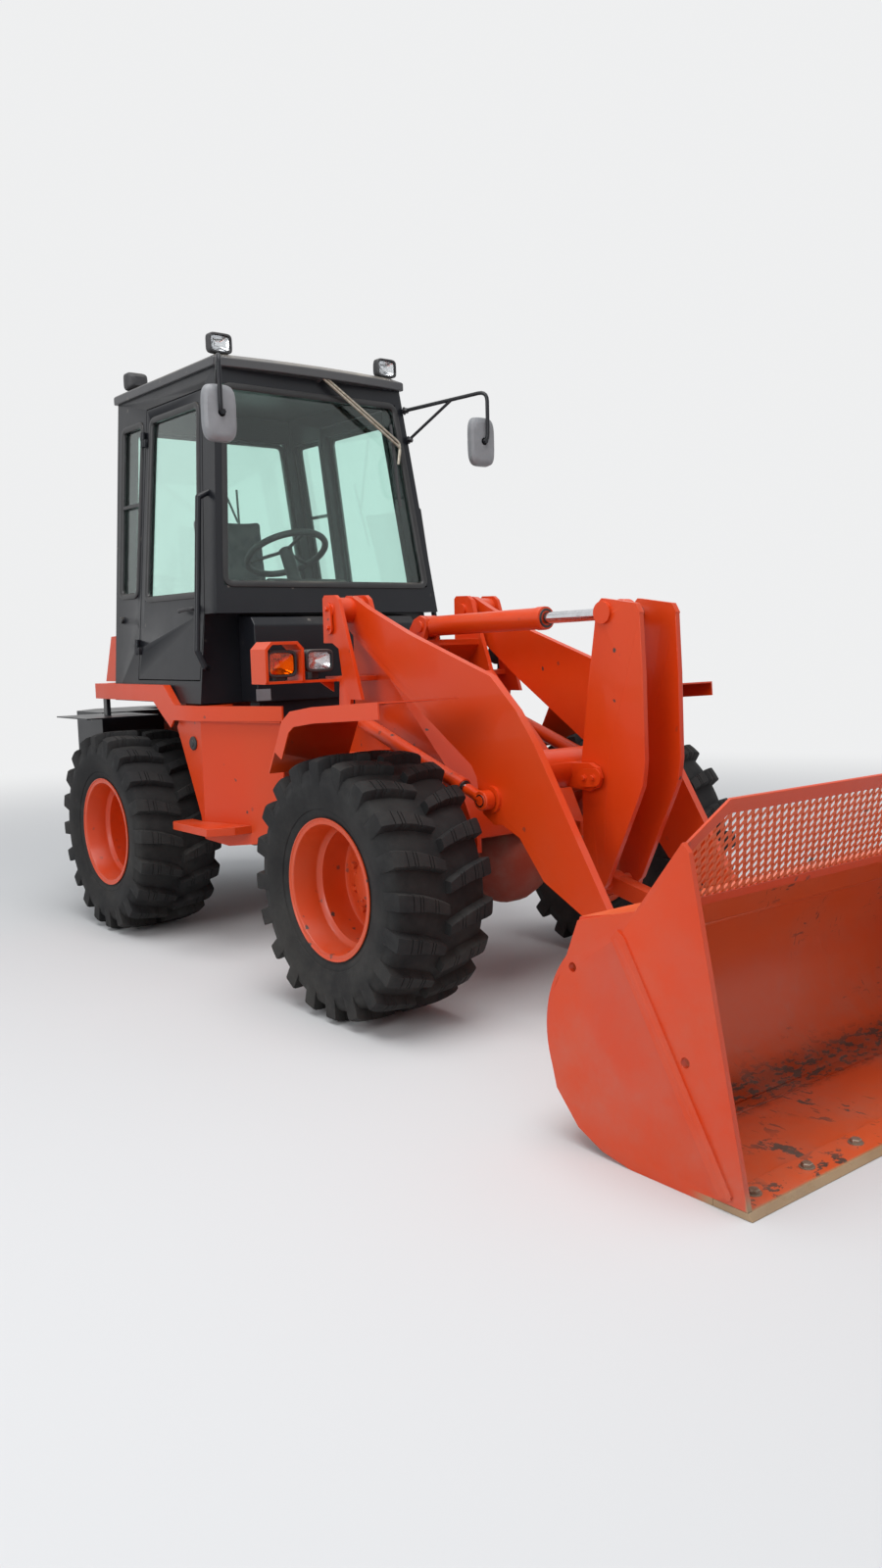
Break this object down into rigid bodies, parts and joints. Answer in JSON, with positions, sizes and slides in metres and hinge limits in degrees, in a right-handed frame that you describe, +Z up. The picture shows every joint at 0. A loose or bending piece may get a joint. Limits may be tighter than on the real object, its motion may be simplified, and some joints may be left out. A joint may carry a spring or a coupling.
{
  "type": "wheel loader",
  "caption": "Compact articulated wheel loader with Z-bar linkage, straight-edged bucket with mesh spill guard, glazed cab and chevron-lug tyres.",
  "frame": {"origin": "on the ground, at the middle of the bounding box's length and width", "axes": "+X forward to the bucket, +Y to the driver's left, +Z up"},
  "size_m": [4.701, 1.876, 2.658],
  "materials": {
    "tyre": "worn rubber",
    "rim_paint": "orange gloss paint, chipped",
    "orange_paint": "orange gloss paint, worn",
    "black_paint": "black satin paint",
    "frame_paint": "dark red-brown paint",
    "bucket_paint": "orange paint, scratched and rusty inside",
    "bare_steel": "bare worn steel",
    "chrome": "polished rod",
    "glass": "green tinted window glass",
    "lamp": "clear and amber lenses in black housings",
    "rubber": "matte",
    "plastic": "matte dark plastic",
    "seat": "woven black cloth",
    "cab_paint": "black satin paint",
    "roof": "black satin paint, dusty",
    "weight": "black satin paint",
    "mirror": "light grey shell",
    "engine": "grey paint"
  },
  "bodies": {
    "rear_body": {"rear_frame": "frame_paint", "rear_axle": "frame_paint", "body_sides": "orange_paint", "tank_steps": "orange_paint", "mudguards": "black_paint", "engine_block": "engine", "counterweight": "weight", "cab_shell": "cab_paint", "cab_glass": "glass", "cab_roof": "roof", "cab_fittings": "plastic", "steering_wheel": "rubber", "seat_cushion": "seat", "seat_back": "seat", "cowl": "black_paint", "work_lamps": "lamp", "grab_rails": "black_paint", "mirrors": "mirror"},
    "front_body": {"front_frame": "orange_paint", "front_axle": "frame_paint", "front_fenders": "orange_paint", "head_lamps": "lamp"},
    "wheel_front_left": {"tyre_front_left": "tyre", "rim_front_left": "rim_paint"},
    "wheel_front_right": {"tyre_front_right": "tyre", "rim_front_right": "rim_paint"},
    "wheel_rear_left": {"tyre_rear_left": "tyre", "rim_rear_left": "rim_paint"},
    "wheel_rear_right": {"tyre_rear_right": "tyre", "rim_rear_right": "rim_paint"},
    "boom_body": {"boom": "orange_paint"},
    "crank_body": {"bell_crank": "orange_paint"},
    "link_body": {"bucket_link": "orange_paint"},
    "bucket_body": {"bucket": "bucket_paint", "bucket_edge": "bare_steel", "spill_guard": "orange_paint"},
    "tilt_barrel_body": {"tilt_barrel": "orange_paint"},
    "tilt_rod_body": {"tilt_rod": "chrome"},
    "lift_barrel_left_body": {"lift_barrel_left": "orange_paint"},
    "lift_rod_left_body": {"lift_rod_left": "chrome"},
    "lift_barrel_right_body": {"lift_barrel_right": "orange_paint"},
    "lift_rod_right_body": {"lift_rod_right": "chrome"},
    "steer_barrel_body": {"steer_barrel": "black_paint"},
    "steer_rod_body": {"steer_rod": "chrome"},
    "left_door": {"door_left": "cab_paint", "door_glass_left": "glass"},
    "right_door": {"door_right": "cab_paint", "door_glass_right": "glass"},
    "hood_body": {"engine_hood": "orange_paint", "rear_grille": "black_paint"}
  },
  "joints": [
    {"name": "articulation", "type": "hinge", "parent": "rear_body", "child": "front_body", "pos_m": [-0.459, 0, 0.71], "axis": [0, 0, 1], "range_deg": [-38, 38]},
    {"name": "wheel_front_left_spin", "type": "hinge", "parent": "front_body", "child": "wheel_front_left", "pos_m": [0.49, 0.65, 0.4675], "axis": [0, 1, 0], "continuous": true},
    {"name": "wheel_front_right_spin", "type": "hinge", "parent": "front_body", "child": "wheel_front_right", "pos_m": [0.49, -0.65, 0.4675], "axis": [0, 1, 0], "continuous": true},
    {"name": "wheel_rear_left_spin", "type": "hinge", "parent": "rear_body", "child": "wheel_rear_left", "pos_m": [-1.408, 0.65, 0.4675], "axis": [0, 1, 0], "continuous": true},
    {"name": "wheel_rear_right_spin", "type": "hinge", "parent": "rear_body", "child": "wheel_rear_right", "pos_m": [-1.408, -0.65, 0.4675], "axis": [0, 1, 0], "continuous": true},
    {"name": "boom_lift", "type": "hinge", "parent": "front_body", "child": "boom_body", "pos_m": [-0.042, 0, 1.445], "axis": [0, -1, 0], "range_deg": [0, 85]},
    {"name": "bucket_tilt", "type": "hinge", "parent": "boom_body", "child": "bucket_body", "pos_m": [1.58, 0, 0.225], "axis": [0, 1, 0], "range_deg": [-45, 130]},
    {"name": "bell_crank_turn", "type": "hinge", "parent": "boom_body", "child": "crank_body", "pos_m": [1.07, 0, 0.84], "axis": [0, -1, 0], "range_deg": [-6.85, 17.9]},
    {"name": "bucket_link_turn", "type": "hinge", "parent": "bucket_body", "child": "link_body", "pos_m": [1.639, 0, 0.335], "axis": [0, -1, 0], "range_deg": [-38.8, 110.2]},
    {"name": "tilt_barrel_turn", "type": "hinge", "parent": "front_body", "child": "tilt_barrel_body", "pos_m": [0.04, 0, 1.375], "axis": [0, -1, 0], "range_deg": [-1, 86.47]},
    {"name": "tilt_rod_slide", "type": "slide", "parent": "tilt_barrel_body", "child": "tilt_rod_body", "axis": [0.9998, 0, 0.0176], "range_m": [-0.0234, 0.005]},
    {"name": "lift_barrel_left_turn", "type": "hinge", "parent": "front_body", "child": "lift_barrel_left_body", "pos_m": [0.03, 0.367, 1.026], "axis": [0, -1, 0], "range_deg": [-1, 80.27]},
    {"name": "lift_rod_left_slide", "type": "slide", "parent": "lift_barrel_left_body", "child": "lift_rod_left_body", "axis": [0.9463, 0, -0.3232], "range_m": [-0.002, 0.5695]},
    {"name": "lift_barrel_right_turn", "type": "hinge", "parent": "front_body", "child": "lift_barrel_right_body", "pos_m": [0.03, -0.367, 1.026], "axis": [0, -1, 0], "range_deg": [-1, 80.27]},
    {"name": "lift_rod_right_slide", "type": "slide", "parent": "lift_barrel_right_body", "child": "lift_rod_right_body", "axis": [0.9463, 0, -0.3232], "range_m": [-0.002, 0.5695]},
    {"name": "steer_barrel_turn", "type": "hinge", "parent": "rear_body", "child": "steer_barrel_body", "pos_m": [-0.959, -0.14, 0.71], "axis": [0, 0, 1], "range_deg": [-5.48, 5.48]},
    {"name": "steer_rod_slide", "type": "slide", "parent": "steer_barrel_body", "child": "steer_rod_body", "axis": [0.9986, -0.0526, 0], "range_m": [-0.1078, 0.1078]},
    {"name": "door_left_hinge", "type": "hinge", "parent": "rear_body", "child": "left_door", "pos_m": [-1.38552, 0.62698, 1.29], "axis": [-0.0209, -0.1005, 0.9947], "range_deg": [0, 150]},
    {"name": "door_right_hinge", "type": "hinge", "parent": "rear_body", "child": "right_door", "pos_m": [-1.38552, -0.62698, 1.29], "axis": [0.0209, -0.1005, -0.9947], "range_deg": [0, 150]},
    {"name": "hood_hinge", "type": "hinge", "parent": "rear_body", "child": "hood_body", "pos_m": [-1.676, 0, 1.399], "axis": [0, 1, 0], "range_deg": [0, 60]}
  ],
  "couplings": [
    {"joint": "bell_crank_turn", "follows": "bucket_tilt", "ratio": 0.13},
    {"joint": "bucket_link_turn", "follows": "bucket_tilt", "ratio": 0.84},
    {"joint": "tilt_barrel_turn", "follows": "boom_lift", "ratio": 1.0055},
    {"joint": "tilt_rod_slide", "follows": "boom_lift", "m_per_rad": -0.01243},
    {"joint": "lift_barrel_left_turn", "follows": "boom_lift", "ratio": 0.93258},
    {"joint": "lift_rod_left_slide", "follows": "boom_lift", "m_per_rad": 0.38054},
    {"joint": "lift_barrel_right_turn", "follows": "boom_lift", "ratio": 0.93258},
    {"joint": "lift_rod_right_slide", "follows": "boom_lift", "m_per_rad": 0.38054},
    {"joint": "steer_barrel_turn", "follows": "articulation", "ratio": 0.11791},
    {"joint": "steer_rod_slide", "follows": "articulation", "m_per_rad": 0.15804}
  ]
}
